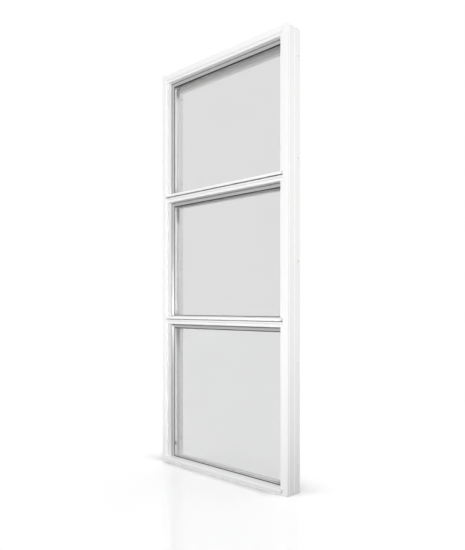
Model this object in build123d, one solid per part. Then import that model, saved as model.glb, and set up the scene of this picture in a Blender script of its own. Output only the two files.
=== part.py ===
from build123d import *
import os

# Fixed picture window: a painted timber frame that holds three sealed glass units, one above the other.
# Lengths are in millimetres. X runs across, Y runs from the outside to the inside, Z runs up.
# A section is drawn as depth behind the frame's outer face and reach from the member's own outer edge.

# Overall size of the timber frame
FRAME_WIDTH = 980
FRAME_HEIGHT = 2380
FRAME_DEPTH = 105

# Jambs and head: width of the outer face, widths seen from inside, bevel beside the beads, rounding of the arrises
FACE_WIDTH = 35
JAMB_INNER_WIDTH = 80
HEAD_INNER_WIDTH = 100
FACE_BEVEL = 4
ARRIS_RADIUS = 2.5

# Sill and transoms: glazing shelf, its lower front lip, inner upstand and inner soffit, from the face's lower edge
SHELF_RISE = 18
SHELF_LIP = 12
UPSTAND_RISE = 40
TRANSOM_DROP = 45
LOWER_TRANSOM_HEIGHT = 866
UPPER_TRANSOM_HEIGHT = 1610

# Shallow grooves round the outside of the frame, for a membrane and for a wall lining
MEMBRANE_GROOVE_AT = 9
MEMBRANE_GROOVE_WIDTH = 9
MEMBRANE_GROOVE_CUT = 3
LINING_GROOVE_AT = 51
LINING_GROOVE_WIDTH = 9
LINING_GROOVE_CUT = 3

# Corner bridle joints and the transoms' stub tenons
OUTER_TENON_AT = 36
OUTER_TENON_THICKNESS = 14
INNER_TENON_THICKNESS = 12
STUB_TENON_LENGTH = 20
TENON_SHOULDER = 14
TENON_CLEARANCE = 0.1

# Fixing holes through the jambs
FIXING_HOLE_COUNT = 5
FIXING_END_DISTANCE = 140
FIXING_HOLE_RADIUS = 5
FIXING_SEAT_RADIUS = 8
FIXING_SEAT_DEPTH = 6

# Glazing beads at the sides and head: flat front, sloped soffit, quirk with a rubber strip, steep lip at the glass
BEAD_SETBACK = 6
BEAD_DEPTH = 30
BEAD_FACE = 14.5
BEAD_SOFFIT = 22
BEAD_SOFFIT_FALL = 4
BEAD_RISE = 37
BEAD_TIP = 2
QUIRK_WIDTH = 2.2
QUIRK_CUT = 4
STRIP_RECESS = 0.3
BEAD_END_GAP = 0.5

# Sealed units: three panes, two spacer frames, a seal outside each spacer
PANE_THICKNESS = 4
CAVITY = 12
SEAL_WIDTH = 4
SPACER_WIDTH = 6.5
SPACER_WALL = 1
EDGE_GAP = 8

# Gaskets, tapes and setting blocks that hold each unit in its rebate
GASKET_THICKNESS = 4
GASKET_WIDTH = 9
GASKET_SIDE_LIP = 1
GASKET_HEAD_LIP = 4
GASKET_FOOT_LIP = 3
TAPE_THICKNESS = 3
TAPE_EDGE = 6
TAPE_SETBACK = 1
BLOCK_HEIGHT = 5
BLOCK_LENGTH = 100
BLOCK_END_DISTANCE = 120

# Bottom glazing profile: an aluminium extrusion with a sloped top and a drip nose
NOSE_PROUD = 7
NOSE_HEIGHT = 14
NOSE_RADIUS = 2
DRAIN_GAP = 4.5
PROFILE_FALL = 6
PROFILE_WALL = 2
PROFILE_LEG_GAP = 4
PROFILE_END_GAP = 1.5
CAP_THICKNESS = 2.5
HOOK_AT = 14
HOOK_GAP = 5

# Clips that hold the profile's hook on the shelf
CLIP_COUNT = 4
CLIP_LENGTH = 40
CLIP_END_DISTANCE = 90
CLIP_WALL = 2
CLIP_FOOT = 7
CLIP_GRIP = 6
CLIP_CLEARANCE = 0.3

# One overrun serves every cut
OVERRUN = 1

# Depths behind the outer face that follow from the sizes above
BEAD_BACK = BEAD_SETBACK + BEAD_DEPTH
SOFFIT_BACK = BEAD_SETBACK + BEAD_SOFFIT
QUIRK_BACK = SOFFIT_BACK + QUIRK_CUT
GLASS_FRONT = BEAD_BACK + GASKET_THICKNESS
UNIT_THICKNESS = 3 * PANE_THICKNESS + 2 * CAVITY
GLASS_BACK = GLASS_FRONT + UNIT_THICKNESS
REBATE_DEPTH = GLASS_BACK + TAPE_THICKNESS
UPSTAND_DEPTH = FRAME_DEPTH - REBATE_DEPTH
UPSTAND_MIDDLE = REBATE_DEPTH + UPSTAND_DEPTH / 2
INNER_TENON_AT = UPSTAND_MIDDLE - INNER_TENON_THICKNESS / 2

# Half widths across the frame
HALF_FRAME = FRAME_WIDTH / 2
HALF_LIGHT = HALF_FRAME - FACE_WIDTH
HALF_INSIDE = HALF_FRAME - JAMB_INNER_WIDTH

# Heights over the lower edge of the face that a light stands on
INNER_DROP = HEAD_INNER_WIDTH - FACE_WIDTH
NOSE_LOW = SHELF_LIP + DRAIN_GAP
NOSE_TOP = NOSE_LOW + NOSE_HEIGHT
PROFILE_TOP = NOSE_TOP + PROFILE_FALL
GLASS_RISE = SHELF_RISE + BLOCK_HEIGHT

# Reaches of a bead's soffit and of the lip past its quirk
SOFFIT_REACH = BEAD_FACE + BEAD_SOFFIT_FALL
LIP_REACH = SOFFIT_REACH + QUIRK_WIDTH

# The origin is under the middle of the whole window, drip noses included
OUTER_FACE_Y = (NOSE_PROUD - FRAME_DEPTH) / 2

# Each light's name, the height of the face edge that it stands on, the height of the soffit over it
# and how far the inner soffit hangs below that
LIGHTS = {
    "bottom": (0, LOWER_TRANSOM_HEIGHT, TRANSOM_DROP),
    "middle": (LOWER_TRANSOM_HEIGHT, UPPER_TRANSOM_HEIGHT, TRANSOM_DROP),
    "top": (UPPER_TRANSOM_HEIGHT, FRAME_HEIGHT - FACE_WIDTH, INNER_DROP),
}

nodes = {}


def section(points, soft_points=(), radius=0):
    """A closed outline from its corners, with the soft corners rounded."""
    face = make_face(Polyline(*points, close=True))
    if not soft_points:
        return face
    soft = [Vector(*point) for point in soft_points]
    corners = [v for v in face.vertices() if min((Vector(*v) - p).length for p in soft) < radius]
    return fillet(corners, radius)


def bar(outline, plane, half_length):
    """A straight member: an outline drawn on a plane and drawn out both ways."""
    return extrude(plane * outline, amount=half_length, both=True)


def block(low, high):
    """A box between two opposite corners."""
    size = Vector(*high) - Vector(*low)
    centre = (Vector(*high) + Vector(*low)) / 2
    return Pos(*centre) * Box(*size)


def both_sides(shape):
    """A shape and its mirror image across the middle of the window."""
    return [shape, mirror(shape, about=Plane.YZ)]


def spread(count, end_distance, half_width):
    """Even places across a width, with the outer ones kept in from its ends."""
    first = end_distance - half_width
    step = -2 * first / (count - 1)
    return [first + step * index for index in range(count)]


def rising_plane(height):
    """Section plane of a member that lies across the window, its reach measured upwards."""
    return Plane(origin=(0, 0, height), x_dir=(0, 1, 0), z_dir=(1, 0, 0))


def hanging_plane(height):
    """Section plane of a member that lies across the window, its reach measured downwards."""
    return Plane(origin=(0, 0, height), x_dir=(0, 1, 0), z_dir=(-1, 0, 0))


def left_plane(x, height):
    """Section plane of an upright on the left, its reach measured towards the light."""
    return Plane(origin=(x, 0, height), x_dir=(0, 1, 0), z_dir=(0, 0, -1))


# Timber frame

def grooved_edge():
    """The outer edge of a frame member with its two grooves, from the outer to the inner face."""
    points = [(0, 0)]
    grooves = (
        (MEMBRANE_GROOVE_AT, MEMBRANE_GROOVE_WIDTH, MEMBRANE_GROOVE_CUT),
        (LINING_GROOVE_AT, LINING_GROOVE_WIDTH, LINING_GROOVE_CUT),
    )
    for start, width, cut in grooves:
        points += [(start, 0), (start, cut), (start + width, cut), (start + width, 0)]
    return points + [(FRAME_DEPTH, 0)]


def rebated_section(inner_width):
    """Section of the jambs and the head: a grooved bar with one glazing rebate."""
    points = grooved_edge() + [
        (FRAME_DEPTH, inner_width), (REBATE_DEPTH, inner_width),
        (REBATE_DEPTH, FACE_WIDTH), (FACE_BEVEL, FACE_WIDTH), (0, FACE_WIDTH - FACE_BEVEL),
    ]
    soft = [(0, 0), (FRAME_DEPTH, 0), (FRAME_DEPTH, inner_width)]
    return section(points, soft, ARRIS_RADIUS)


def shelf_points():
    """The drained shelf under a light, from the inner upstand out to the front lip."""
    return [
        (FRAME_DEPTH, UPSTAND_RISE), (REBATE_DEPTH, UPSTAND_RISE),
        (REBATE_DEPTH, SHELF_RISE), (BEAD_BACK, SHELF_RISE), (0, SHELF_LIP),
    ]


def sill_section():
    """Section of the sill: grooves below, a shelf and an upstand above."""
    soft = [(0, SHELF_LIP), (FRAME_DEPTH, 0), (FRAME_DEPTH, UPSTAND_RISE)]
    return section(grooved_edge() + shelf_points(), soft, ARRIS_RADIUS)


def transom_section():
    """Section of a transom: a soffit rebate below, a shelf and an upstand above."""
    points = [
        (0, FACE_BEVEL), (FACE_BEVEL, 0), (REBATE_DEPTH, 0),
        (REBATE_DEPTH, -TRANSOM_DROP), (FRAME_DEPTH, -TRANSOM_DROP),
    ]
    soft = [(0, SHELF_LIP), (FRAME_DEPTH, -TRANSOM_DROP), (FRAME_DEPTH, UPSTAND_RISE)]
    return section(points + shelf_points(), soft, ARRIS_RADIUS)


def tenon(front, thickness, low, high, root, tip, clearance=0):
    """A tenon on the left end of a cross member, or its pocket when given a clearance."""
    return block(
        (-tip, front - clearance, low - clearance),
        (-root, front + thickness + clearance, high + clearance),
    )


def cross_member(outline, plane, tenons):
    """A member cut to length between the jambs, its inner part shorter, with tenons at both ends."""
    body = bar(outline, plane, HALF_LIGHT)
    trim = block((-HALF_FRAME, REBATE_DEPTH, -FRAME_HEIGHT), (-HALF_INSIDE, FRAME_WIDTH, 2 * FRAME_HEIGHT))
    body = body - both_sides(trim)
    for piece in tenons:
        body = body + both_sides(piece)
    return body


def corner_tenons(outer_low, outer_high, inner_low, inner_high, clearance=0):
    """The two tenons of a corner joint, which run right through the jamb."""
    reach = HALF_FRAME + clearance
    return [
        tenon(OUTER_TENON_AT, OUTER_TENON_THICKNESS, outer_low, outer_high, HALF_LIGHT, reach, clearance),
        tenon(INNER_TENON_AT, INNER_TENON_THICKNESS, inner_low, inner_high, HALF_INSIDE, reach, clearance),
    ]


def sill_tenons(clearance=0):
    """Corner tenons of the sill."""
    return corner_tenons(0, SHELF_RISE, 0, UPSTAND_RISE, clearance)


def head_tenons(clearance=0):
    """Corner tenons of the head."""
    outer_low = FRAME_HEIGHT - FACE_WIDTH
    inner_low = FRAME_HEIGHT - HEAD_INNER_WIDTH
    return corner_tenons(outer_low, FRAME_HEIGHT, inner_low, FRAME_HEIGHT, clearance)


def transom_tenon(height, clearance=0):
    """Stub tenon of a transom, which stops inside the jamb."""
    low = height - TRANSOM_DROP + TENON_SHOULDER
    high = height + UPSTAND_RISE - TENON_SHOULDER
    tip = HALF_INSIDE + STUB_TENON_LENGTH + clearance
    return tenon(INNER_TENON_AT, INNER_TENON_THICKNESS, low, high, HALF_INSIDE, tip, clearance)


def fixing_hole(height):
    """A fixing hole through the left jamb, with a wider seat on the side of the light."""
    axis = Pos(-HALF_FRAME, UPSTAND_MIDDLE, height) * Rot(0, 90, 0)
    up = (Align.CENTER, Align.CENTER, Align.MIN)
    hole = Pos(0, 0, -OVERRUN) * Cylinder(FIXING_HOLE_RADIUS, JAMB_INNER_WIDTH + 2 * OVERRUN, align=up)
    seat_start = JAMB_INNER_WIDTH - FIXING_SEAT_DEPTH
    seat = Pos(0, 0, seat_start) * Cylinder(FIXING_SEAT_RADIUS, FIXING_SEAT_DEPTH + OVERRUN, align=up)
    return axis * (hole + seat)


def left_jamb():
    """The left jamb with its open mortises, transom mortises and fixing holes."""
    middle = FRAME_HEIGHT / 2
    body = bar(rebated_section(JAMB_INNER_WIDTH), left_plane(-HALF_FRAME, middle), middle)
    cuts = sill_tenons(TENON_CLEARANCE) + head_tenons(TENON_CLEARANCE)
    cuts += [transom_tenon(height, TENON_CLEARANCE) for height in (LOWER_TRANSOM_HEIGHT, UPPER_TRANSOM_HEIGHT)]
    cuts += [fixing_hole(middle + z) for z in spread(FIXING_HOLE_COUNT, FIXING_END_DISTANCE, middle)]
    return body - cuts


jambs = both_sides(left_jamb())
nodes["left_jamb"] = jambs[0]
nodes["right_jamb"] = jambs[1]
nodes["head"] = cross_member(rebated_section(HEAD_INNER_WIDTH), hanging_plane(FRAME_HEIGHT), head_tenons())
nodes["sill"] = cross_member(sill_section(), rising_plane(0), sill_tenons())
for name, height in (("lower", LOWER_TRANSOM_HEIGHT), ("upper", UPPER_TRANSOM_HEIGHT)):
    plane = rising_plane(height)
    nodes[f"{name}_transom"] = cross_member(transom_section(), plane, [transom_tenon(height)])


# Sealed glass units

def ring(half_width, low, high, band, front, thickness):
    """A flat rectangular frame, given its outer edges, its band width and its depth."""
    plane = Plane(origin=(0, front, (low + high) / 2), x_dir=(1, 0, 0), z_dir=(0, -1, 0))
    outer = Rectangle(2 * half_width, high - low)
    inner = Rectangle(2 * (half_width - band), high - low - 2 * band)
    return extrude(plane * (outer - inner), amount=-thickness)


def cavity_front(index):
    """Depth at which a sealed cavity starts, counted from the outside."""
    return GLASS_FRONT + PANE_THICKNESS + index * (CAVITY + PANE_THICKNESS)


def spacer(half_width, low, high, front):
    """A hollow spacer frame: four walls round an empty channel."""
    tube = ring(half_width, low, high, SPACER_WIDTH, front, CAVITY)
    hollow_band = SPACER_WIDTH - 2 * SPACER_WALL
    hollow = ring(
        half_width - SPACER_WALL, low + SPACER_WALL, high - SPACER_WALL,
        hollow_band, front + SPACER_WALL, CAVITY - 2 * SPACER_WALL,
    )
    return tube - hollow


def glass_unit(light, low, high):
    """Panes, spacers and edge seals of one sealed unit."""
    half = HALF_LIGHT - EDGE_GAP
    for index, place in enumerate(("outer", "middle", "inner")):
        front = GLASS_FRONT + index * (CAVITY + PANE_THICKNESS)
        nodes[f"{light}_{place}_pane"] = block((-half, front, low), (half, front + PANE_THICKNESS, high))
    seals = []
    for index, place in enumerate(("outer", "inner")):
        front = cavity_front(index)
        seals.append(ring(half, low, high, SEAL_WIDTH, front, CAVITY))
        inside = (half - SEAL_WIDTH, low + SEAL_WIDTH, high - SEAL_WIDTH)
        nodes[f"{light}_{place}_spacer"] = spacer(*inside, front)
    nodes[f"{light}_edge_seals"] = Compound(seals)


def setting_blocks(light, base):
    """Two blocks on the shelf that carry a unit's weight."""
    low = base + SHELF_RISE
    blocks = []
    for x in spread(2, BLOCK_END_DISTANCE, HALF_LIGHT):
        corner = (x - BLOCK_LENGTH / 2, GLASS_FRONT, low)
        blocks.append(block(corner, (x + BLOCK_LENGTH / 2, GLASS_BACK, low + BLOCK_HEIGHT)))
    nodes[f"{light}_setting_blocks"] = Compound(blocks)


def seals_round(light, base, roof, drop):
    """The outer gasket under the beads and the tape against the inner upstands."""
    half = HALF_LIGHT - BEAD_RISE - GASKET_SIDE_LIP + GASKET_WIDTH
    low = base + PROFILE_TOP + GASKET_FOOT_LIP - GASKET_WIDTH
    high = roof - BEAD_RISE - GASKET_HEAD_LIP + GASKET_WIDTH
    nodes[f"{light}_outer_gasket"] = ring(half, low, high, GASKET_WIDTH, BEAD_BACK, GASKET_THICKNESS)
    half = HALF_LIGHT - EDGE_GAP - TAPE_EDGE
    low = base + GLASS_RISE + TAPE_EDGE
    high = roof - EDGE_GAP - TAPE_EDGE
    sheet = block((-half, GLASS_BACK, low), (half, REBATE_DEPTH, high))
    half = HALF_INSIDE + TAPE_SETBACK
    low = base + UPSTAND_RISE - TAPE_SETBACK
    high = roof - drop + TAPE_SETBACK
    opening = block((-half, GLASS_BACK - OVERRUN, low), (half, REBATE_DEPTH + OVERRUN, high))
    nodes[f"{light}_inner_tape"] = sheet - opening


# Glazing beads

def bead_section():
    """Section of a bead: flat front, sloped soffit, narrow quirk, steep lip against the glass."""
    return section([
        (BEAD_BACK, 0), (BEAD_SETBACK, 0), (BEAD_SETBACK, BEAD_FACE),
        (SOFFIT_BACK, SOFFIT_REACH), (QUIRK_BACK, SOFFIT_REACH),
        (QUIRK_BACK, LIP_REACH), (SOFFIT_BACK, LIP_REACH),
        (BEAD_BACK - BEAD_TIP, BEAD_RISE), (BEAD_BACK, BEAD_RISE),
    ])


def strip_section():
    """Section of the rubber strip in a bead's quirk, a little behind its mouth."""
    front = SOFFIT_BACK + STRIP_RECESS
    return section([
        (front, SOFFIT_REACH), (QUIRK_BACK, SOFFIT_REACH), (QUIRK_BACK, LIP_REACH), (front, LIP_REACH),
    ])


def mask(points):
    """An upright prism through the whole depth, used to cut beads to their mitres."""
    outline = make_face(Polyline(*points, close=True))
    plane = Plane(origin=(0, 0, 0), x_dir=(1, 0, 0), z_dir=(0, -1, 0))
    return extrude(plane * outline, amount=-FRAME_DEPTH)


def mitred_lengths(outline, base, roof):
    """Head, left and right lengths of one section, mitred at the top and cut to the profile's slope below."""
    sight = HALF_LIGHT - BEAD_RISE
    head_mask = mask([(-HALF_LIGHT, roof), (HALF_LIGHT, roof), (sight, roof - BEAD_RISE), (-sight, roof - BEAD_RISE)])
    head = bar(outline, hanging_plane(roof), HALF_LIGHT) & head_mask
    side_mask = mask([(-HALF_LIGHT, base), (-HALF_LIGHT, roof), (-sight, roof - BEAD_RISE), (-sight, base)])
    middle = (base + roof) / 2
    side = bar(outline, left_plane(-HALF_LIGHT, middle), (roof - base) / 2) & side_mask
    side = side - bar(profile_silhouette(BEAD_END_GAP, base - roof), rising_plane(base), HALF_FRAME)
    return [head] + both_sides(side)


def beads(light, base, roof):
    """The beads of one light and the rubber strips in their quirks."""
    lengths = mitred_lengths(bead_section(), base, roof)
    for place, length in zip(("head", "left", "right"), lengths):
        nodes[f"{light}_{place}_bead"] = length
    nodes[f"{light}_bead_strips"] = Compound(mitred_lengths(strip_section(), base, roof))


# Bottom glazing profiles

def profile_top(depth):
    """Height of the profile's sloped top at a depth."""
    return NOSE_TOP + PROFILE_FALL * (depth + NOSE_PROUD) / (BEAD_BACK + NOSE_PROUD)


def shelf_height(depth):
    """Height of the shelf's sloped front part at a depth."""
    return SHELF_LIP + (SHELF_RISE - SHELF_LIP) * depth / BEAD_BACK


def profile_silhouette(cover=0, low=NOSE_LOW):
    """Outline of the profile as if it were solid, raised by a cover where another piece stops over it."""
    return section([
        (-NOSE_PROUD, low), (-NOSE_PROUD, NOSE_TOP + cover),
        (BEAD_BACK, PROFILE_TOP + cover), (BEAD_BACK, low),
    ])


def profile_section():
    """Section of the extrusion: drip nose, sloped top, leg at the glass and hook for the clips."""
    nose_back = PROFILE_WALL - NOSE_PROUD
    leg_front = BEAD_BACK - PROFILE_WALL
    leg_low = SHELF_RISE + PROFILE_LEG_GAP
    hook_back = HOOK_AT + PROFILE_WALL
    hook_low = shelf_height(HOOK_AT) + HOOK_GAP
    under = [(depth, profile_top(depth) - PROFILE_WALL) for depth in (leg_front, hook_back, HOOK_AT, nose_back)]
    points = [
        (-NOSE_PROUD, NOSE_LOW), (-NOSE_PROUD, NOSE_TOP), (BEAD_BACK, PROFILE_TOP),
        (BEAD_BACK, leg_low), (leg_front, leg_low), under[0],
        under[1], (hook_back, hook_low), (HOOK_AT, hook_low), under[2],
        under[3], (nose_back, NOSE_LOW),
    ]
    return section(points, [(-NOSE_PROUD, NOSE_TOP)], NOSE_RADIUS)


def cap_section():
    """Section of an end cap: the profile's silhouette down to the back leg's foot."""
    leg_low = SHELF_RISE + PROFILE_LEG_GAP
    points = [
        (-NOSE_PROUD, NOSE_LOW), (-NOSE_PROUD, NOSE_TOP), (BEAD_BACK, PROFILE_TOP),
        (BEAD_BACK, leg_low), (0, leg_low), (0, NOSE_LOW),
    ]
    return section(points, [(-NOSE_PROUD, NOSE_TOP)], NOSE_RADIUS)


def clip_section():
    """Section of a clip: a foot on the sloped shelf and two prongs that grip the hook."""
    slot_front = HOOK_AT - CLIP_CLEARANCE
    slot_back = HOOK_AT + PROFILE_WALL + CLIP_CLEARANCE
    front = slot_front - CLIP_WALL
    back = slot_back + CLIP_WALL
    floor = shelf_height(HOOK_AT) + HOOK_GAP - CLIP_CLEARANCE
    top = floor + CLIP_GRIP
    foot_front = front - CLIP_FOOT
    foot_back = back + CLIP_FOOT
    return section([
        (foot_front, shelf_height(foot_front)), (foot_back, shelf_height(foot_back)),
        (foot_back, shelf_height(foot_back) + CLIP_WALL), (back, shelf_height(back) + CLIP_WALL),
        (back, top), (slot_back, top), (slot_back, floor), (slot_front, floor), (slot_front, top),
        (front, top), (front, shelf_height(front) + CLIP_WALL),
        (foot_front, shelf_height(foot_front) + CLIP_WALL),
    ])


def bottom_profile(light, base):
    """The profile of one light with its two end caps and its row of clips."""
    plane = rising_plane(base)
    cap_outer = HALF_LIGHT - PROFILE_END_GAP
    half = cap_outer - CAP_THICKNESS
    nodes[f"{light}_bottom_profile"] = bar(profile_section(), plane, half)
    cap = Pos(half + CAP_THICKNESS / 2, 0, 0) * bar(cap_section(), plane, CAP_THICKNESS / 2)
    nodes[f"{light}_profile_end_caps"] = Compound(both_sides(cap))
    clip = bar(clip_section(), plane, CLIP_LENGTH / 2)
    places = spread(CLIP_COUNT, CLIP_END_DISTANCE, HALF_LIGHT)
    nodes[f"{light}_profile_clips"] = Compound([Pos(x, 0, 0) * clip for x in places])


for light, (base, roof, drop) in LIGHTS.items():
    glass_unit(light, base + GLASS_RISE, roof - EDGE_GAP)
    setting_blocks(light, base)
    seals_round(light, base, roof, drop)
    beads(light, base, roof)
    bottom_profile(light, base)

os.makedirs("parts", exist_ok=True)
for name, shape in nodes.items():
    export_step(Pos(0, OUTER_FACE_Y, 0) * shape, f"parts/{name}.step")
print(len(nodes), "nodes written")
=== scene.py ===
"""Fixed picture window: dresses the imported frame, glass, beads and profiles in a studio."""

import logging
import math
from dataclasses import dataclass, field
from enum import Enum

import bmesh
import bpy
from mathutils import Matrix, Vector


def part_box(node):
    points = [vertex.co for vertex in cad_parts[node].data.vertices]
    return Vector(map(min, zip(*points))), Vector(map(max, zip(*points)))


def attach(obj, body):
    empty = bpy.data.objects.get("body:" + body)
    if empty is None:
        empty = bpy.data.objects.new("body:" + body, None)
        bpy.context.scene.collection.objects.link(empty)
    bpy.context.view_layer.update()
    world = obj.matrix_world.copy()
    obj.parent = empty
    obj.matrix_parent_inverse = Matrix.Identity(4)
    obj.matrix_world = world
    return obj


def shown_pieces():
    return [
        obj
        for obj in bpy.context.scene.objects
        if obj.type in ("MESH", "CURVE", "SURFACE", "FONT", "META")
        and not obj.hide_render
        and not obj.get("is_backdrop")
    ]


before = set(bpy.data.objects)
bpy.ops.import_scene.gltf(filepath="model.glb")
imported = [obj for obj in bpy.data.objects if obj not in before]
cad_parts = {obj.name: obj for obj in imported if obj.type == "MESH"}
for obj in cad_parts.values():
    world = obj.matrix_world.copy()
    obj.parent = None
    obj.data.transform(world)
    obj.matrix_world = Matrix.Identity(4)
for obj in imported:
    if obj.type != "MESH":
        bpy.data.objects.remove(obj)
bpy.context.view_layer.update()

log = logging.getLogger("picture_window")

Colour = tuple[float, float, float]
Axes = tuple[float, float, float]
Range = tuple[float, float]
Socket = bpy.types.NodeSocket
Input = Socket | float | Colour

LIGHTS = ("bottom", "middle", "top")
SEALED_PARTS = ("_spacer", "_tape")
EDGE_PARTS = SEALED_PARTS + ("_seals", "_blocks")
SIGHT_RAYS = ("Is Camera Ray", "Is Glossy Ray", "Is Transmission Ray")
WHITE: Colour = (1.0, 1.0, 1.0)
UNSTRETCHED: Axes = (1.0, 1.0, 1.0)
WHOLE: Range = (0.0, 1.0)
NOISE_MIDDLE: Range = (0.3, 0.7)
MERGE_DISTANCE = 1e-6
RIGHT_ANGLE = math.radians(90.0)


class Grain(Enum):
    """The way the timber runs in a member, as the stretch of its grain along X, Y and Z."""

    ACROSS = (1.0, 14.0, 14.0)
    UPRIGHT = (14.0, 14.0, 1.0)


class Graph:
    """The node tree of a material or of the surroundings, put together one node at a time."""

    BLEND_INPUTS = (0, 6, 7)
    BLEND_OUTPUT = 2

    def __init__(self, owner: bpy.types.Material | bpy.types.World, output: str) -> None:
        """Empties the owner's tree and gives it an output.

        Args:
            owner: material or world that the tree belongs to.
            output: Blender's name of the output node.
        """
        owner.use_nodes = True
        self.owner = owner
        self.tree = owner.node_tree
        self.tree.nodes.clear()
        self.output = self.node(output)

    @classmethod
    def of_material(cls, name: str) -> "Graph":
        """An empty tree in a new material of that name."""
        return cls(bpy.data.materials.new(name), "ShaderNodeOutputMaterial")

    def node(self, kind: str, **inputs: Input) -> bpy.types.Node:
        """Adds a node and fills its inputs.

        Args:
            kind: Blender's name of the node.
            inputs: socket names, with _ for a space, and a value or another node's output.

        Returns:
            The new node.
        """
        made = self.tree.nodes.new(kind)
        for name, value in inputs.items():
            self.feed(made.inputs[name.replace("_", " ")], value)
        return made

    def feed(self, socket: Socket, value: Input) -> None:
        """Links an output to a socket, or sets the socket's own value.

        Args:
            socket: socket that is fed.
            value: an output, a number or a colour.
        """
        if isinstance(value, Socket):
            self.tree.links.new(value, socket)
        elif isinstance(value, tuple) and socket.type == "RGBA":
            socket.default_value = (*value, 1.0)
        else:
            socket.default_value = value

    def place(self, stretch: Axes = UNSTRETCHED) -> Socket:
        """Object coordinates, stretched on each axis."""
        coordinates = self.node("ShaderNodeTexCoord").outputs["Object"]
        return self.node("ShaderNodeMapping", Vector=coordinates, Scale=stretch).outputs[0]

    def measure(self, operation: str, direction: Axes = UNSTRETCHED) -> Socket:
        """A number taken from the object coordinates.

        Args:
            operation: Blender's name of the vector sum that gives it.
            direction: second vector of the sum, for one that has two.

        Returns:
            The number.
        """
        made = self.node("ShaderNodeVectorMath", Vector=self.place())
        made.operation = operation
        made.inputs[1].default_value = direction
        return made.outputs["Value"]

    def noise(
        self, place: Socket, scale: float, detail: float = 2.0, roughness: float = 0.5
    ) -> Socket:
        """A noise pattern from 0 to 1.

        Args:
            place: coordinates that it reads.
            scale: cells to a metre.
            detail: octaves of finer noise.
            roughness: share of each finer octave.

        Returns:
            The noise's value.
        """
        made = self.node(
            "ShaderNodeTexNoise", Vector=place, Scale=scale, Detail=detail, Roughness=roughness
        )
        return made.outputs[0]

    def ramp(self, value: Socket, source: Range, result: Range = WHOLE) -> Socket:
        """A straight ramp, level before its start and past its end.

        Args:
            value: what it reads.
            source: values at which it starts and ends.
            result: what it gives at its start and at its end.

        Returns:
            The ramp's result.
        """
        made = self.node(
            "ShaderNodeMapRange", Value=value,
            From_Min=source[0], From_Max=source[1], To_Min=result[0], To_Max=result[1],
        )
        return made.outputs[0]

    def spread(self, noise: Socket, result: Range = WHOLE) -> Socket:
        """Stretches the middle of a noise over a range."""
        return self.ramp(noise, NOISE_MIDDLE, result)

    def math(self, operation: str, first: Input, second: Input) -> Socket:
        """One sum on two values.

        Args:
            operation: Blender's name of the sum.
            first: a number or an output.
            second: a number or an output.

        Returns:
            The result.
        """
        made = self.node("ShaderNodeMath")
        made.operation = operation
        self.feed(made.inputs[0], first)
        self.feed(made.inputs[1], second)
        return made.outputs[0]

    def blend(self, share: Input, first: Input, second: Input) -> Socket:
        """Mixes two colours.

        Args:
            share: how much of the second colour.
            first: a colour or an output.
            second: a colour or an output.

        Returns:
            The mixed colour.
        """
        made = self.node("ShaderNodeMix")
        made.data_type = "RGBA"
        for index, value in zip(self.BLEND_INPUTS, (share, first, second)):
            self.feed(made.inputs[index], value)
        return made.outputs[self.BLEND_OUTPUT]

    def bump(self, height: Socket, depth: float) -> Socket:
        """Turns a height from 0 to 1 into a bumped normal, with its depth in metres."""
        return self.node("ShaderNodeBump", Height=height, Distance=depth, Strength=1.0).outputs[0]

    def rays(self, *names: str) -> Socket:
        """Tells rays of some kinds from all others.

        Args:
            names: Blender's names of the kinds.

        Returns:
            1 for a ray of any of the kinds, else 0.
        """
        path = self.node("ShaderNodeLightPath")
        found = path.outputs[names[0]]
        for name in names[1:]:
            found = self.math("MAXIMUM", found, path.outputs[name])
        return found

    def mix(self, share: Input, first: bpy.types.Node, second: bpy.types.Node) -> bpy.types.Node:
        """Mixes two shaders.

        Args:
            share: how much of the second shader.
            first: a shader.
            second: a shader.

        Returns:
            The mixed shader.
        """
        made = self.node("ShaderNodeMixShader", Fac=share)
        self.feed(made.inputs[1], first.outputs[0])
        self.feed(made.inputs[2], second.outputs[0])
        return made

    def skin(self, colour: Socket, roughness: Socket, normal: Socket) -> bpy.types.Material:
        """Finishes the tree as an opaque surface.

        Args:
            colour: its colour.
            roughness: its roughness.
            normal: its bumped normal.

        Returns:
            The finished material.
        """
        shader = self.node(
            "ShaderNodeBsdfPrincipled", Base_Color=colour, Roughness=roughness, Normal=normal
        )
        return self.finish(shader)

    def finish(self, shader: bpy.types.Node) -> bpy.types.Material | bpy.types.World:
        """Links the last shader to the output and hands the owner over."""
        self.tree.links.new(shader.outputs[0], self.output.inputs["Surface"])
        return self.owner


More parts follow.
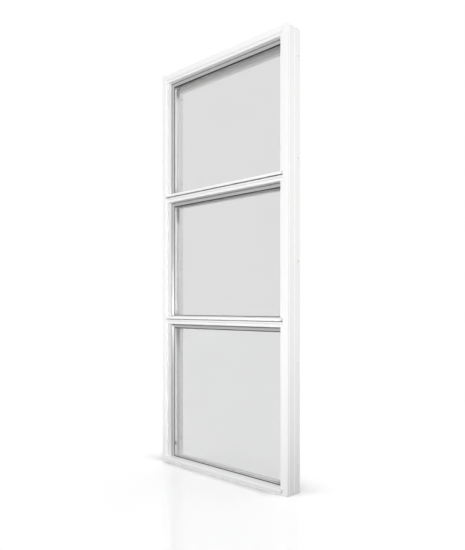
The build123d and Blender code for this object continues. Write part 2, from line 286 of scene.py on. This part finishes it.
@dataclass(frozen=True)
class SprayedTimber:
    """Factory-sprayed paint on planed softwood: faint grain, fine orange peel, uneven tone."""

    name: str
    grain: Grain
    pale: Colour = (0.876, 0.876, 0.872)
    shade: Colour = (0.846, 0.846, 0.840)
    cloud_scale: float = 2.3
    fibre_tone: Range = (0.45, 1.0)
    gloss_range: Range = (0.30, 0.42)
    gloss_scale: float = 40.0
    gloss_detail: float = 3.0
    grain_scale: float = 28.0
    grain_detail: float = 5.0
    grain_roughness: float = 0.62
    grain_depth: float = 0.00022
    peel_scale: float = 900.0
    peel_detail: float = 1.0
    peel_share: float = 0.35
    lip_start_y: float | None = None
    # Grey painted on the lip as the shade that falls in the recess by the glass.
    lip_shade: Colour = (0.43, 0.43, 0.43)
    lip_roughness: float = 0.15
    # Painted shadow: a thin dark line at the root of the lip, where the shadow gap lies.
    painted_shadow_line: Colour = (0.20, 0.20, 0.20)
    painted_shadow_width: float = 0.0009

    def material(self) -> bpy.types.Material:
        """The paint; on a member with a lip, a thin painted shadow line at the lip's root and a
        smoother lip painted grey as shade.

        Returns:
            The finished material.
        """
        graph = Graph.of_material(self.name)
        plain = graph.place()
        along = graph.place(self.grain.value)
        fibres = graph.noise(along, self.grain_scale, self.grain_detail, self.grain_roughness)
        peel = graph.noise(plain, self.peel_scale, self.peel_detail)
        cloud = graph.noise(plain, self.cloud_scale)
        gloss = graph.noise(plain, self.gloss_scale, self.gloss_detail)
        tone = graph.math("MULTIPLY", graph.spread(cloud), graph.spread(fibres, self.fibre_tone))
        height = graph.math("ADD", fibres, graph.math("MULTIPLY", peel, self.peel_share))
        colour = graph.blend(tone, self.pale, self.shade)
        roughness = graph.spread(gloss, self.gloss_range)
        if self.lip_start_y is not None:
            across = graph.node("ShaderNodeSeparateXYZ", Vector=plain).outputs["Y"]
            on_lip = graph.math("GREATER_THAN", across, self.lip_start_y)
            past_painted_shadow = graph.math("GREATER_THAN", across, self.lip_start_y + self.painted_shadow_width)
            # Painted shade: the thin dark shadow line first, then the grey of the shaded lip.
            colour = graph.blend(on_lip, colour, graph.blend(past_painted_shadow, self.painted_shadow_line, self.lip_shade))
            smoother = self.lip_roughness - self.gloss_range[0]
            roughness = graph.math("ADD", roughness, graph.math("MULTIPLY", on_lip, smoother))
        return graph.skin(colour, roughness, graph.bump(height, self.grain_depth))


@dataclass(frozen=True)
class PowderCoat:
    """Powder coat on extruded aluminium: an even tone with a fine dense texture."""

    name: str
    pale: Colour = (0.868, 0.870, 0.870)
    shade: Colour = (0.838, 0.840, 0.842)
    streak_stretch: Axes = (0.4, 30.0, 30.0)
    streak_scale: float = 8.0
    gloss_range: Range = (0.34, 0.48)
    texture_scale: float = 1700.0
    texture_depth: float = 0.00006

    def material(self) -> bpy.types.Material:
        """The coat, with faint streaks along the extrusion.

        Returns:
            The finished material.
        """
        graph = Graph.of_material(self.name)
        texture = graph.noise(graph.place(), self.texture_scale)
        streaks = graph.noise(graph.place(self.streak_stretch), self.streak_scale)
        return graph.skin(
            graph.blend(graph.spread(streaks), self.pale, self.shade),
            graph.spread(texture, self.gloss_range),
            graph.bump(texture, self.texture_depth),
        )


@dataclass(frozen=True)
class Moulded:
    """Moulded plastic or rubber: two close tones in fine cells, with a matt or satin skin."""

    name: str
    pale: Colour
    shade: Colour
    gloss_range: Range
    cell_scale: float = 420.0
    cell_detail: float = 3.0
    cell_roughness: float = 0.6
    cell_depth: float = 0.00008
    cloud_scale: float = 9.0
    cloud_tone: Range = (0.5, 1.0)

    def material(self) -> bpy.types.Material:
        """The plastic or rubber, with its cells in tone, gloss and height.

        Returns:
            The finished material.
        """
        graph = Graph.of_material(self.name)
        place = graph.place()
        cells = graph.noise(place, self.cell_scale, self.cell_detail, self.cell_roughness)
        cloud = graph.noise(place, self.cloud_scale)
        tone = graph.math("MULTIPLY", graph.spread(cells), graph.spread(cloud, self.cloud_tone))
        return graph.skin(
            graph.blend(tone, self.pale, self.shade),
            graph.spread(cells, self.gloss_range),
            graph.bump(cells, self.cell_depth),
        )


@dataclass(frozen=True)
class PerforatedSpacer:
    """Warm-edge spacer bar: satin grey skin with rows of small breather holes."""

    name: str
    pale: Colour = (0.64, 0.64, 0.635)
    # Painted shade: the dark colour inside the breather holes.
    hole_shade: Colour = (0.30, 0.30, 0.30)
    hole_scale: float = 260.0
    hole_share: float = 0.12
    hole_depth: float = 0.0003
    gloss_range: Range = (0.30, 0.45)
    gloss_scale: float = 300.0

    def material(self) -> bpy.types.Material:
        """The spacer, with painted shade in its holes, which are also sunk by bump.

        Returns:
            The finished material.
        """
        graph = Graph.of_material(self.name)
        place = graph.place()
        rows = graph.node(
            "ShaderNodeTexVoronoi", Vector=place, Scale=self.hole_scale, Randomness=0.0
        )
        solid = graph.math("GREATER_THAN", rows.outputs["Distance"], self.hole_share)
        return graph.skin(
            # Painted shade: the holes take the dark colour, the rest the spacer's grey.
            graph.blend(solid, self.hole_shade, self.pale),
            graph.spread(graph.noise(place, self.gloss_scale), self.gloss_range),
            graph.bump(solid, self.hole_depth),
        )


@dataclass(frozen=True)
class ClearPane:
    """Float glass with a faint uneven coating: clear to the eye, and open to the lamps."""

    name: str
    tint: Colour = (0.945, 0.946, 0.945)
    deep_tint: Colour = (0.938, 0.940, 0.938)
    open_tint: Colour = (0.985, 0.986, 0.985)
    cloud_scale: float = 1.7
    ior: float = 1.5

    def material(self) -> bpy.types.Material:
        """The glass, which lets shadow rays and diffuse rays straight through.

        Returns:
            The finished material.
        """
        graph = Graph.of_material(self.name)
        cloud = graph.spread(graph.noise(graph.place(), self.cloud_scale))
        glass = graph.node(
            "ShaderNodeBsdfPrincipled",
            Base_Color=graph.blend(cloud, self.tint, self.deep_tint),
            Roughness=0.0,
            IOR=self.ior,
            Transmission_Weight=1.0,
        )
        open_way = graph.node("ShaderNodeBsdfTransparent", Color=self.open_tint)
        let_through = graph.rays("Is Shadow Ray", "Is Diffuse Ray")
        return graph.finish(graph.mix(let_through, glass, open_way))


def dress(node: str, material: bpy.types.Material) -> None:
    """Puts a material in every slot of a CAD node.

    Args:
        node: name of the node.
        material: its finish.
    """
    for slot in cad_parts[node].material_slots:
        slot.material = material
    log.info("dressed %s with %s", node, material.name)


def dress_lights(finishes: dict[str, bpy.types.Material]) -> None:
    """Dresses the same parts in each of the three lights.

    Args:
        finishes: the finish of each part, by the part's name without its light.
    """
    for light in LIGHTS:
        for part, material in finishes.items():
            dress(f"{light}_{part}", material)


def new_piece(
    name: str, plan: bmesh.types.BMesh, material: bpy.types.Material
) -> None:
    """Turns a finished bmesh into a piece that rides on the window.

    Args:
        name: name of the piece.
        plan: its bmesh, freed here.
        material: its finish.
    """
    mesh = bpy.data.meshes.new(name)
    plan.to_mesh(mesh)
    plan.free()
    piece = bpy.data.objects.new(name, mesh)
    bpy.context.scene.collection.objects.link(piece)
    mesh.materials.append(material)
    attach(piece, "root")
    log.info("built %s, %d faces", name, len(mesh.polygons))


def dished_disc(
    plan: bmesh.types.BMesh, segments: int, radii: Range, height: float, rim: float, dish: float
) -> list[bmesh.types.BMVert]:
    """Adds a round disc, tapered to its top, with a shallow dish in it.

    Args:
        plan: bmesh that it goes into.
        segments: sides of the disc.
        radii: radius at its foot and at its top.
        height: its height, half of it above the origin.
        rim: width of the rim round the dish.
        dish: depth of the dish.

    Returns:
        The new vertices.
    """
    earlier = len(plan.verts)
    foot, top = radii
    made = bmesh.ops.create_cone(
        plan, cap_ends=True, segments=segments, radius1=foot, radius2=top, depth=height
    )["verts"]
    faces = (face for vert in made for face in vert.link_faces)
    upper = max(faces, key=lambda face: face.calc_center_median().z)
    bmesh.ops.inset_region(plan, faces=[upper], thickness=rim, depth=-dish)
    plan.verts.ensure_lookup_table()
    return plan.verts[earlier:]


@dataclass
class TimberFrame:
    """The painted jambs, head, sill and transoms."""

    uprights: tuple[str, ...] = ("left_jamb", "right_jamb")
    cross_members: tuple[str, ...] = ("head", "sill", "lower_transom", "upper_transom")

    def dress(self) -> None:
        """Paints every member with the grain along its own length."""
        upright = SprayedTimber("sprayed_timber_upright", Grain.UPRIGHT).material()
        across = SprayedTimber("sprayed_timber_across", Grain.ACROSS).material()
        for node in self.uprights:
            dress(node, upright)
        for node in self.cross_members:
            dress(node, across)


@dataclass
class GlassUnits:
    """Panes, spacers, seals, tapes and blocks of the three sealed units."""

    clear: tuple[ClearPane, ...] = (ClearPane("clear_pane_outer"), ClearPane("clear_pane_middle"))
    coated: ClearPane = ClearPane(
        "coated_pane_inner", tint=(0.785, 0.787, 0.786), deep_tint=(0.777, 0.780, 0.779)
    )
    spacer: PerforatedSpacer = PerforatedSpacer("perforated_spacer")
    sealant: Moulded = Moulded(
        "edge_sealant", pale=(0.60, 0.60, 0.595), shade=(0.52, 0.52, 0.515),
        gloss_range=(0.45, 0.6), cell_scale=160.0, cell_depth=0.0004,
    )
    tape: Moulded = Moulded(
        "foam_tape", pale=(0.72, 0.72, 0.715), shade=(0.67, 0.67, 0.665),
        gloss_range=(0.8, 0.95), cell_scale=1100.0, cell_depth=0.0002,
    )
    block: Moulded = Moulded(
        "setting_block_plastic", pale=(0.10, 0.11, 0.12), shade=(0.075, 0.08, 0.09),
        gloss_range=(0.42, 0.55),
    )

    def dress(self) -> None:
        """Gives each part of each unit its own finish."""
        outer, middle = (pane.material() for pane in self.clear)
        spacer = self.spacer.material()
        dress_lights({
            "outer_pane": outer,
            "middle_pane": middle,
            "inner_pane": self.coated.material(),
            "outer_spacer": spacer,
            "inner_spacer": spacer,
            "edge_seals": self.sealant.material(),
            "inner_tape": self.tape.material(),
            "setting_blocks": self.block.material(),
        })


@dataclass
class Glazing:
    """Beads, gaskets, bottom profiles, end caps and clips."""

    lip_start_y: float = -0.0209
    grain_depth: float = 0.00012
    coat: PowderCoat = PowderCoat("powder_coat")
    cap: Moulded = Moulded(
        "end_cap_plastic", pale=(0.80, 0.80, 0.80), shade=(0.74, 0.74, 0.74),
        gloss_range=(0.40, 0.55),
    )
    clip: Moulded = Moulded(
        "clip_nylon", pale=(0.40, 0.40, 0.39), shade=(0.33, 0.33, 0.32), gloss_range=(0.35, 0.5)
    )
    rubber: Moulded = Moulded(
        "gasket_rubber", pale=(0.026, 0.026, 0.027), shade=(0.016, 0.016, 0.017),
        gloss_range=(0.62, 0.78), cell_scale=900.0, cell_depth=0.00005,
    )

    def bead_paint(self, name: str, grain: Grain) -> bpy.types.Material:
        """Paint of the beads, with painted shade on their lips and a painted shadow line at the
        lips' root.

        Args:
            name: name of the material.
            grain: the way the beads run.

        Returns:
            The finished material.
        """
        paint = SprayedTimber(
            name, grain, grain_depth=self.grain_depth, lip_start_y=self.lip_start_y
        )
        return paint.material()

    def dress(self) -> None:
        """Gives every glazing part its finish."""
        upright = self.bead_paint("sprayed_bead_upright", Grain.UPRIGHT)
        rubber = self.rubber.material()
        dress_lights({
            "left_bead": upright,
            "right_bead": upright,
            "head_bead": self.bead_paint("sprayed_bead_across", Grain.ACROSS),
            "bottom_profile": self.coat.material(),
            "profile_end_caps": self.cap.material(),
            "profile_clips": self.clip.material(),
            "outer_gasket": rubber,
            "bead_strips": rubber,
        })


@dataclass
class BeadPins:
    """Painted heads of the pins that hold the beads, in a row along each bead's soffit."""

    pitch: float = 0.235
    end_distance: float = 0.075
    least_count: int = 2
    head_radius: float = 0.0019
    head_height: float = 0.0005
    top_share: float = 0.72
    rim_share: float = 0.3
    dimple: float = 0.0002
    bead_face: float = 0.0145
    seat_depth: float = 0.0093
    seat_reach: float = 0.0017
    soffit_slope: float = 4.0 / 22.0
    segments: int = 16
    paint: SprayedTimber = SprayedTimber("sprayed_pin_heads", Grain.UPRIGHT, grain_depth=0.00004)

    def head(self, plan: bmesh.types.BMesh, place: Matrix) -> None:
        """Adds one pin head.

        Args:
            plan: bmesh that it goes into.
            place: its place, with its Z axis out of the soffit.
        """
        verts = dished_disc(
            plan, self.segments, (self.head_radius, self.head_radius * self.top_share),
            self.head_height, self.head_radius * self.rim_share, self.dimple,
        )
        bmesh.ops.transform(plan, matrix=place, verts=verts)

    def row(self, bead: str, towards: Vector, along: int) -> list[Matrix]:
        """Places of the pin heads along one bead.

        Args:
            bead: name of the bead's node.
            towards: direction from the bead to the middle of its light.
            along: axis that the bead runs on, 0 for X or 2 for Z.

        Returns:
            A matrix for each head.
        """
        low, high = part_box(bead)
        corner = Vector((
            low.x if towards.x >= 0.0 else high.x, low.y, high.z if towards.z < 0.0 else low.z
        ))
        seat = corner + towards * (self.bead_face + self.seat_reach)
        seat += Vector((0.0, self.seat_depth, 0.0))
        out = Vector((0.0, -self.soffit_slope, 0.0)) + towards
        turn = out.normalized().to_track_quat("Z", "Y").to_matrix().to_4x4()
        length = high[along] - low[along] - 2.0 * self.end_distance
        count = max(self.least_count, round(length / self.pitch) + 1)
        found = []
        for index in range(count):
            seat[along] = low[along] + self.end_distance + length * index / (count - 1)
            found.append(Matrix.Translation(seat) @ turn)
        return found

    def build(self) -> None:
        """Makes one piece of pin heads for each light."""
        paint = self.paint.material()
        for light in LIGHTS:
            plan = bmesh.new()
            for bead, towards, along in (
                ("left_bead", Vector((1.0, 0.0, 0.0)), 2),
                ("right_bead", Vector((-1.0, 0.0, 0.0)), 2),
                ("head_bead", Vector((0.0, 0.0, -1.0)), 0),
            ):
                for place in self.row(f"{light}_{bead}", towards, along):
                    self.head(plan, place)
            new_piece(f"{light}_bead_pins", plan, paint)


@dataclass
class FixingSleeves:
    """White nylon sleeves in the seats of the jambs' fixing holes."""

    heights: tuple[float, ...] = (0.140, 0.665, 1.190, 1.715, 2.240)
    hole_y: float = 0.043
    seat_floor_x: float = 0.416
    outer_radius: float = 0.0077
    inner_radius: float = 0.0052
    length: float = 0.0046
    chamfer: float = 0.0006
    mouth_chamfer: float = 0.0012
    steps: int = 40
    nylon: Moulded = Moulded(
        "sleeve_nylon", pale=(0.84, 0.84, 0.83), shade=(0.79, 0.79, 0.78), gloss_range=(0.35, 0.5)
    )

    def ring(self, plan: bmesh.types.BMesh, side: float, height: float) -> None:
        """Spins one sleeve about its fixing hole.

        Args:
            plan: bmesh that it goes into.
            side: -1 for the left jamb, 1 for the right.
            height: height of the hole.
        """
        outline = (
            (0.0, self.inner_radius),
            (0.0, self.outer_radius),
            (self.length - self.chamfer, self.outer_radius),
            (self.length, self.outer_radius - self.chamfer),
            (self.length, self.inner_radius + self.mouth_chamfer),
            (self.length - self.mouth_chamfer, self.inner_radius),
        )
        verts = [
            plan.verts.new((side * (self.seat_floor_x - reach), self.hole_y, height + radius))
            for reach, radius in outline
        ]
        edges = [plan.edges.new((verts[i], verts[i - 1])) for i in range(len(verts))]
        bmesh.ops.spin(
            plan, geom=verts + edges, cent=(0.0, self.hole_y, height), axis=(1.0, 0.0, 0.0),
            angle=math.tau, steps=self.steps, use_merge=True, use_duplicate=False,
        )

    def build(self) -> None:
        """Makes one piece of sleeves for each jamb."""
        nylon = self.nylon.material()
        for name, side in (("left", -1.0), ("right", 1.0)):
            plan = bmesh.new()
            for height in self.heights:
                self.ring(plan, side, height)
            bmesh.ops.remove_doubles(plan, verts=plan.verts, dist=MERGE_DISTANCE)
            bmesh.ops.recalc_face_normals(plan, faces=plan.faces)
            new_piece(f"{name}_fixing_sleeves", plan, nylon)


@dataclass
class FillingPlug:
    """Rubber plug in the gas filling hole, low on the left of the bottom unit's inner spacer."""

    height: float = 0.110
    width: float = 0.008
    length: float = 0.024
    rise: float = 0.0010
    disc_radius: float = 0.5
    disc_height: float = 1.0
    top_share: float = 0.84
    rim_share: float = 0.16
    dimple_share: float = 0.35
    spacer_height: float = 0.0065
    segments: int = 32
    rubber: Moulded = Moulded(
        "plug_rubber", pale=(0.10, 0.10, 0.10), shade=(0.07, 0.07, 0.07),
        gloss_range=(0.55, 0.7), cell_scale=900.0, cell_depth=0.00005,
    )

    def build(self) -> None:
        """Makes the plug from a disc of unit size, and sets it on the face of the spacer."""
        low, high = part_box("bottom_inner_spacer")
        plan = bmesh.new()
        dished_disc(
            plan, self.segments, (self.disc_radius, self.disc_radius * self.top_share),
            self.disc_height, self.rim_share, self.dimple_share,
        )
        bmesh.ops.translate(plan, vec=(0.0, 0.0, self.disc_height / 2.0), verts=plan.verts)
        bmesh.ops.scale(plan, vec=(self.length, self.width, self.rise), verts=plan.verts)
        out_of_spacer = Matrix.Rotation(RIGHT_ANGLE, 4, "Y")
        spot = Vector((low.x + self.spacer_height, (low.y + high.y) / 2.0, self.height))
        place = Matrix.Translation(spot) @ out_of_spacer
        bmesh.ops.transform(plan, matrix=place, verts=plan.verts)
        new_piece("bottom_filling_plug", plan, self.rubber.material())


@dataclass(frozen=True)
class FloorFinish:
    """Plain white floor with a faint polish and a soft shadow at the window's foot."""

    seen: float = 1.875
    foot_shadow: float = 0.35
    foot_shadow_reach: float = 0.25
    foot_shadow_curve: float = 2.0
    shadow_range_y: Range = (-0.10, -0.03)
    lee_direction: Axes = (-1.0, 1.0, 0.0)
    lee_range: Range = (-0.54, -0.40)
    bounce_reach: Range = (0.5, 2.4)
    bounce: Range = (0.0, 1.5)
    polish: float = 0.14
    polish_roughness: float = 0.005

    def thrown_light(self, graph: Graph) -> Socket:
        """Colour that the floor throws back as light, which grows away from the window.

        Args:
            graph: tree that it goes into.

        Returns:
            The colour.
        """
        level = graph.ramp(graph.measure("LENGTH"), self.bounce_reach, self.bounce)
        return graph.node("ShaderNodeCombineColor", Red=level, Green=level, Blue=level).outputs[0]

    def shadow(self, graph: Graph) -> Socket:
        """Share of the soft shadow, which lies under the window and on its lee side.

        Args:
            graph: tree that it goes into.

        Returns:
            The share, from 0 to 1.
        """
        openness = graph.node("ShaderNodeAmbientOcclusion", Distance=self.foot_shadow_reach)
        bare = graph.math("POWER", openness.outputs["AO"], self.foot_shadow_curve)
        depth = graph.node("ShaderNodeSeparateXYZ", Vector=graph.place()).outputs["Y"]
        behind = graph.ramp(depth, self.shadow_range_y)
        lee = graph.ramp(graph.measure("DOT_PRODUCT", self.lee_direction), self.lee_range)
        cast = graph.math("MULTIPLY", behind, lee)
        return graph.math("MULTIPLY", graph.math("SUBTRACT", 1.0, bare), cast)

    def material(self) -> bpy.types.Material:
        """The floor, full white to the eye, in mirrors and through glass.

        Returns:
            The finished material.
        """
        graph = Graph.of_material("studio_floor")
        shadow = graph.math("MULTIPLY", self.shadow(graph), graph.rays("Is Camera Ray"))
        seen = graph.blend(shadow, (self.seen,) * 3, (self.seen * self.foot_shadow,) * 3)
        colour = graph.blend(graph.rays(*SIGHT_RAYS), self.thrown_light(graph), seen)
        matt = graph.node("ShaderNodeBsdfDiffuse", Color=colour)
        polish = graph.node(
            "ShaderNodeBsdfAnisotropic", Color=WHITE, Roughness=self.polish_roughness
        )
        return graph.finish(graph.mix(self.polish, matt, polish))


@dataclass
class Lamp:
    """One square soft lamp, aimed at the window, that lights only the pieces it is meant for."""

    name: str
    place: Axes
    power: float
    width: float
    aim: Axes = (0.0, 0.0, 1.2)
    shines_on: tuple[str, ...] = ("",)
    spares: tuple[str, ...] = ()
    spread_deg: float = 180.0
    gleam_only: bool = False

    def build(self) -> None:
        """Hangs the lamp over the pieces that it shines on, told by the ends of their names."""
        lit = bpy.data.collections.new(f"lit_by_{self.name}")
        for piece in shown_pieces():
            if piece.name.endswith(self.shines_on) and not piece.name.endswith(self.spares):
                lit.objects.link(piece)
        data = bpy.data.lights.new(self.name, "AREA")
        data.energy = self.power
        data.size = self.width
        data.spread = math.radians(self.spread_deg)
        lamp = bpy.data.objects.new(self.name, data)
        lamp.location = self.place
        away = Vector(self.place) - Vector(self.aim)
        lamp.rotation_euler = away.to_track_quat("Z", "Y").to_euler()
        lamp.visible_glossy = self.gleam_only
        lamp.visible_diffuse = not self.gleam_only
        lamp.visible_transmission = False
        lamp.light_linking.receiver_collection = lit
        bpy.context.scene.collection.objects.link(lamp)


def studio_lamps() -> list[Lamp]:
    """The lamps of the studio.

    Returns:
        Those for the whole window, and those for only some of its pieces.
    """
    return [
        Lamp(
            "key_lamp", (5.8, -6.6, 2.4), power=67.0, width=2.4,
            aim=(0.0, 0.0, 1.25), spares=SEALED_PARTS, spread_deg=70.0,
        ),
        Lamp("top_lamp", (0.5, -0.6, 9.0), power=150.0, width=2.0, spares=("_tape",)),
        Lamp(
            "foot_lamp", (-0.8, -7.0, 0.5), power=2.5, width=1.0,
            aim=(0.0, 0.0, 0.1), spares=EDGE_PARTS, spread_deg=26.0,
        ),
        Lamp("edge_lamp", (2.5, -2.2, 0.3), power=165.0, width=1.0, shines_on=EDGE_PARTS),
        Lamp(
            "high_edge_lamp", (2.5, -2.2, 2.0), power=132.0, width=1.0,
            shines_on=("_spacer", "_seals", "_blocks"),
        ),
        Lamp("tape_lamp", (2.5, -2.2, 5.0), power=380.0, width=1.0, shines_on=("_tape",)),
        Lamp("reveal_lamp", (4.0, 1.0, 1.2), power=28.0, width=1.0, shines_on=("left_jamb",)),
        Lamp("back_lamp", (-3.5, 6.5, 3.0), power=260.0, width=2.4, spares=SEALED_PARTS),
        Lamp(
            "gleam_lamp", (-1.83, -5.8, 0.95), power=112.0, width=1.0,
            shines_on=("_left_bead",), gleam_only=True,
        ),
    ]


@dataclass
class Studio:
    """Floor, surroundings, lamps and camera."""

    floor: FloorFinish = FloorFinish()
    floor_half: float = 30.0
    floor_drop: float = 0.0004
    ambient: float = 0.55
    ambient_tint: Colour = (0.99, 0.99, 0.993)
    lens: float = 37.05
    camera_place: Axes = (2.249, -2.287, 0.956)
    camera_turn_deg: float = 43.7
    camera_shift_y: float = 0.0576
    lamps: list[Lamp] = field(default_factory=studio_lamps)

    def build(self) -> None:
        """Sets up everything round the window."""
        self.build_floor()
        self.build_surroundings()
        for lamp in self.lamps:
            lamp.build()
        self.build_camera()
        bpy.context.scene.view_settings.view_transform = "Standard"

    def build_floor(self) -> None:
        """Lays the floor just under the window."""
        plan = bmesh.new()
        bmesh.ops.create_grid(plan, x_segments=1, y_segments=1, size=self.floor_half)
        bmesh.ops.translate(plan, vec=(0.0, 0.0, -self.floor_drop), verts=plan.verts)
        mesh = bpy.data.meshes.new("studio_floor")
        plan.to_mesh(mesh)
        plan.free()
        floor = bpy.data.objects.new("studio_floor", mesh)
        bpy.context.scene.collection.objects.link(floor)
        mesh.materials.append(self.floor.material())
        floor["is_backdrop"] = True

    def build_surroundings(self) -> None:
        """Sets soft even light all round, seen as white by eye, in mirrors and through glass."""
        world = bpy.data.worlds.new("studio_surroundings")
        bpy.context.scene.world = world
        graph = Graph(world, "ShaderNodeOutputWorld")
        glow = graph.node("ShaderNodeBackground", Color=self.ambient_tint, Strength=self.ambient)
        white = graph.node("ShaderNodeBackground", Color=WHITE, Strength=1.0)
        graph.finish(graph.mix(graph.rays(*SIGHT_RAYS), glow, white))

    def build_camera(self) -> None:
        """Puts the camera at the viewing angle of the photograph."""
        data = bpy.data.cameras.new("view")
        data.lens = self.lens
        data.shift_y = self.camera_shift_y
        camera = bpy.data.objects.new("view", data)
        camera.location = self.camera_place
        camera.rotation_euler = (RIGHT_ANGLE, 0.0, math.radians(self.camera_turn_deg))
        bpy.context.scene.collection.objects.link(camera)
        bpy.context.scene.camera = camera


def main() -> None:
    """Dresses the window, adds its small parts and sets the studio."""
    logging.basicConfig(level=logging.INFO, format="%(name)s: %(message)s")
    TimberFrame().dress()
    GlassUnits().dress()
    Glazing().dress()
    BeadPins().build()
    FixingSleeves().build()
    FillingPlug().build()
    Studio().build()


if __name__ == "__main__":
    main()
